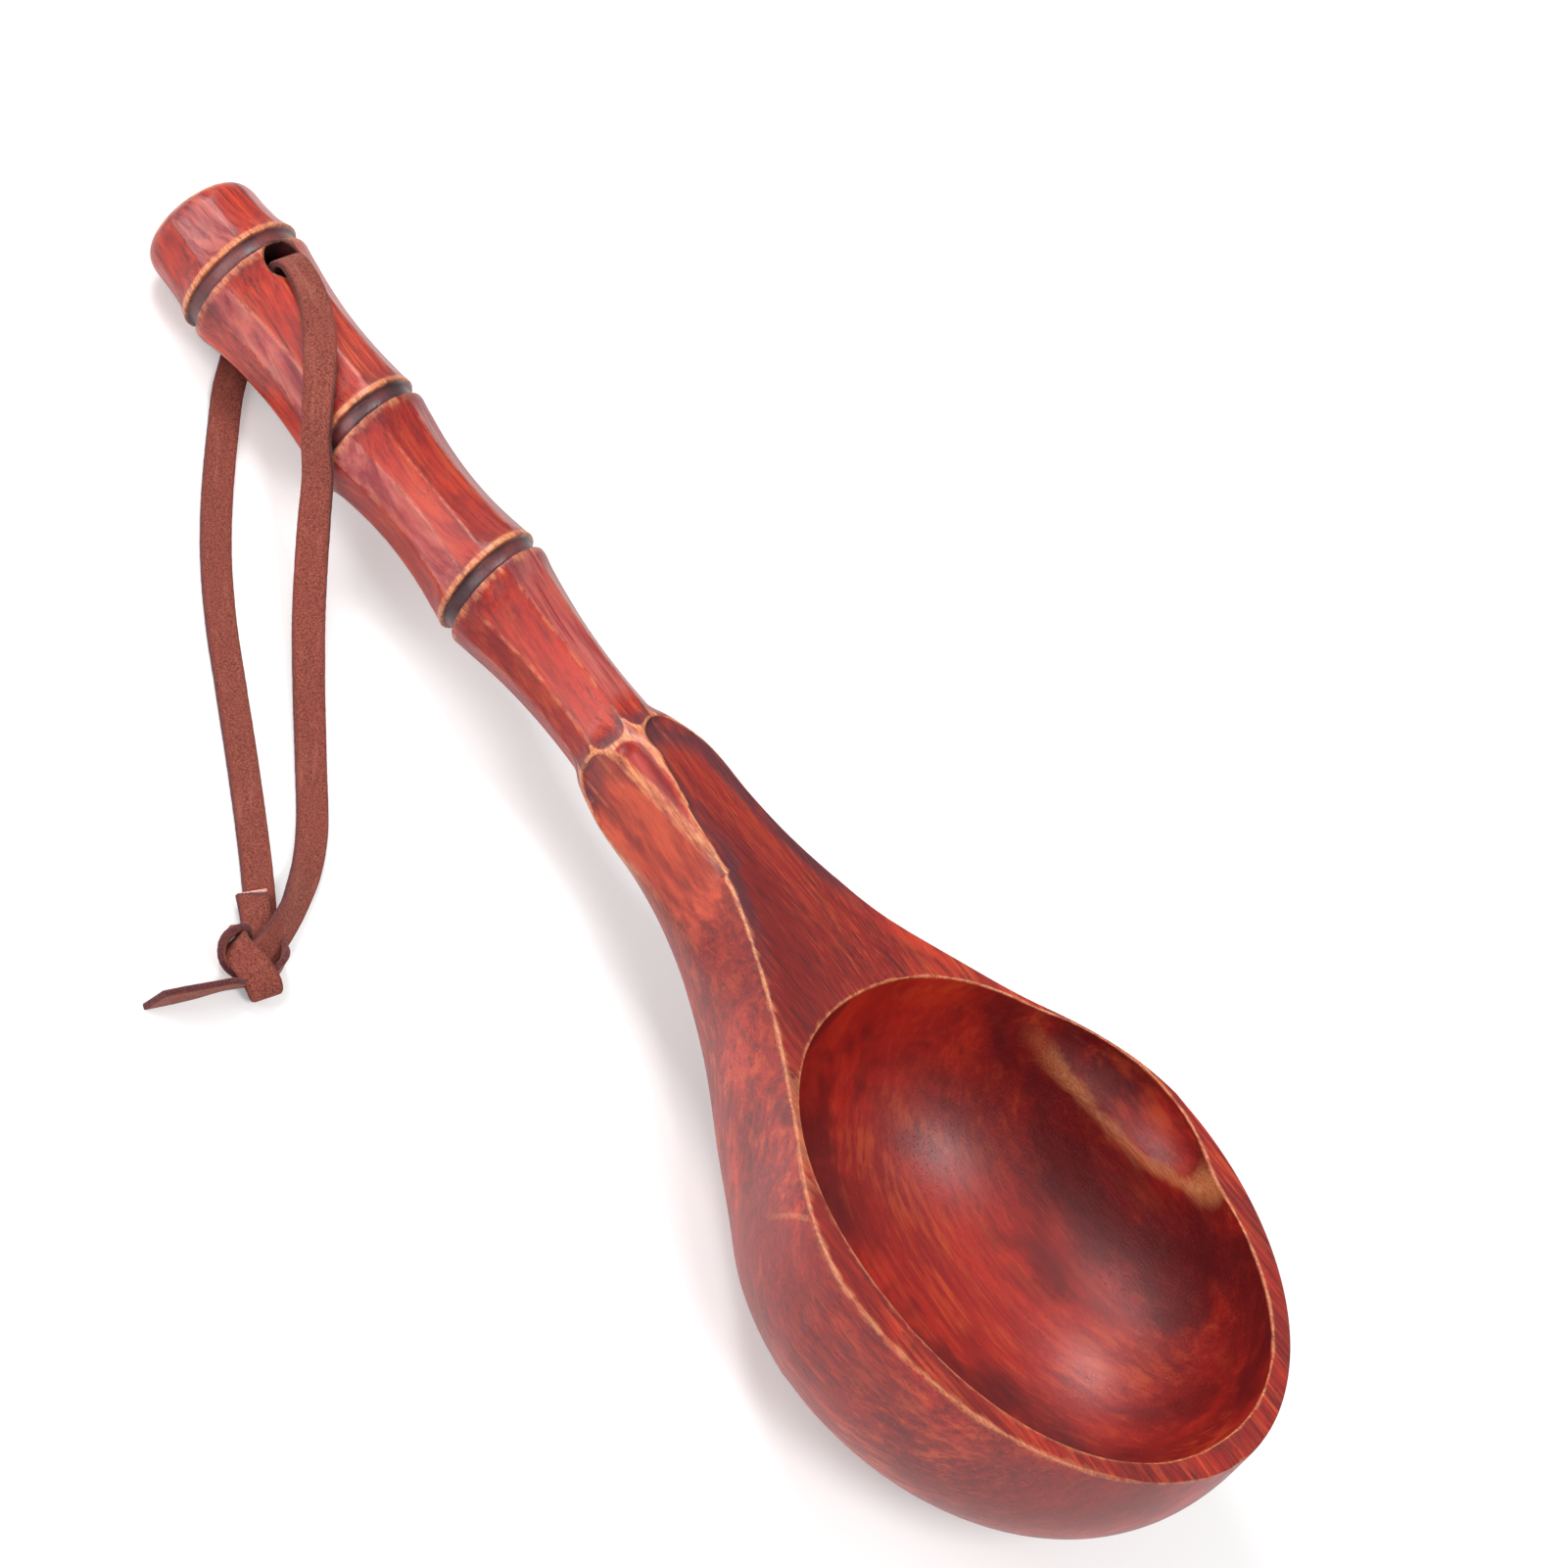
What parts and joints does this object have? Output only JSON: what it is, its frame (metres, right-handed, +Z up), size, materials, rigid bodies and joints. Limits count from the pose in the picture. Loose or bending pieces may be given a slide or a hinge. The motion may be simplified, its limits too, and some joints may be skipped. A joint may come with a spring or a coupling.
{
  "type": "sauna ladle",
  "caption": "Deep oval ladle carved from one block of wood, with a side pouring lip, a cane-like handle and a knotted leather thong through the end of the handle.",
  "frame": {"origin": "centre of the flat foot under the bowl, on the surface that the ladle lies on", "axes": "+X along the ladle towards the tip of the bowl, +Y to the left, the side of the pouring lip, +Z up; the ladle lies as it rests, on its foot and the end of its handle"},
  "size_m": [0.3774, 0.1833, 0.068],
  "materials": {
    "wood": "carved hardwood, stained red-brown, glossy clear finish",
    "leather": "soft brown leather strip, dull"
  },
  "bodies": {
    "ladle": {"ladle": "wood"},
    "thong": {"thong_front_leg": "leather", "thong_back_leg": "leather", "thong_knot": "leather", "thong_long_tail": "leather", "thong_short_tail": "leather"}
  },
  "joints": [
    {"name": "thong_swing", "type": "hinge", "parent": "ladle", "child": "thong", "pos_m": [-0.2749, 0, 0.0175], "axis": [0, 0, 1], "range_deg": [-25, 0]}
  ]
}
